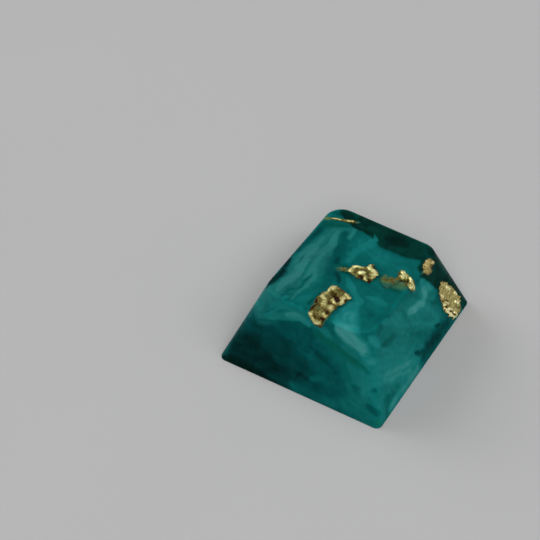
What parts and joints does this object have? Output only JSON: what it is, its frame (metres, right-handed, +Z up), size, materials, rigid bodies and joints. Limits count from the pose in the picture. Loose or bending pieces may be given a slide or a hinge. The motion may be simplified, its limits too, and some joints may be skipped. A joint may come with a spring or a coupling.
{
  "type": "artisan keycap",
  "caption": "Artisan keycap: hollow tapered casting of marbled teal resin with torn gold leaf in its skin, a flat tilted top and a cross-socket stem that presses onto a key switch.",
  "frame": {"origin": "on the stem's axis in the plane of the rim, at the centre of the square footprint", "axes": "+Z up out of the top, +X to the typist's right, +Y away from the typist"},
  "size_m": [0.0182, 0.0182, 0.0088],
  "materials": {
    "resin": "glossy cast resin, cloudy teal swirls",
    "leaf": "crumpled gold leaf under clear resin"
  },
  "bodies": {
    "root": {"resin_cap": "resin", "gold_leaf_front": "leaf", "gold_leaf_top": "leaf", "gold_leaf_right_edge": "leaf", "gold_leaf_chip": "leaf", "gold_leaf_corner": "leaf", "gold_leaf_back": "leaf"}
  },
  "joints": []
}
